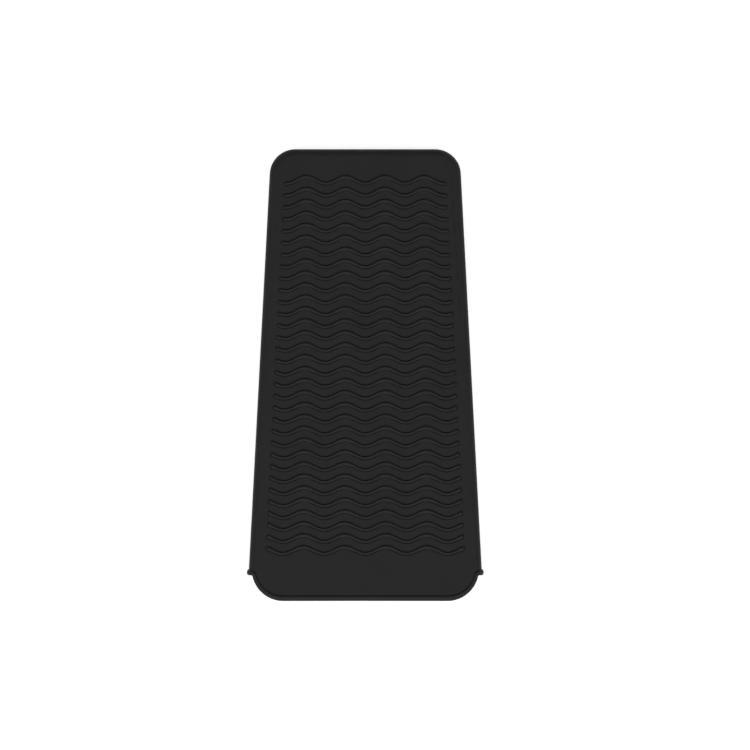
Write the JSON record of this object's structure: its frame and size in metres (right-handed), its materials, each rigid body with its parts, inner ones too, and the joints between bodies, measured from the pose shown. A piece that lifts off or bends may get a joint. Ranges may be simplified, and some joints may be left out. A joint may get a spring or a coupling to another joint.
{
  "type": "heat-resistant hot tool sleeve",
  "caption": "Flat tapered silicone sleeve and heat mat for hot hair tools, with wavy raised ribs on its faces, a rimmed open mouth and flexible lips.",
  "frame": {"origin": "centre of the bounding box, on the surface that the back face rests on", "axes": "+X across the width, +Y towards the closed end with the mouth at -Y, +Z out of the front face"},
  "size_m": [0.1492, 0.284, 0.0224],
  "materials": {
    "black_silicone": "matte moulded silicone"
  },
  "bodies": {
    "sleeve_body": {"front_panel": "black_silicone", "front_wave_ribs": "black_silicone", "back_panel": "black_silicone", "back_wave_ribs": "black_silicone", "left_side_wall": "black_silicone", "right_side_wall": "black_silicone", "closed_end_wall": "black_silicone", "left_end_corner": "black_silicone", "right_end_corner": "black_silicone", "left_mouth_bead": "black_silicone", "right_mouth_bead": "black_silicone"},
    "front_lip": {"front_lip_panel": "black_silicone", "front_lip_bead": "black_silicone"},
    "back_lip": {"back_lip_panel": "black_silicone", "back_lip_bead": "black_silicone"}
  },
  "joints": [
    {"name": "front_lip_flex", "type": "hinge", "parent": "sleeve_body", "child": "front_lip", "pos_m": [0, -0.1233, 0.0202], "axis": [-1, 0, 0], "range_deg": [-20, 70], "stiffness_Nm_per_rad": 0.05},
    {"name": "back_lip_flex", "type": "hinge", "parent": "sleeve_body", "child": "back_lip", "pos_m": [0, -0.1233, 0.0022], "axis": [1, 0, 0], "range_deg": [-20, 70], "stiffness_Nm_per_rad": 0.05}
  ]
}
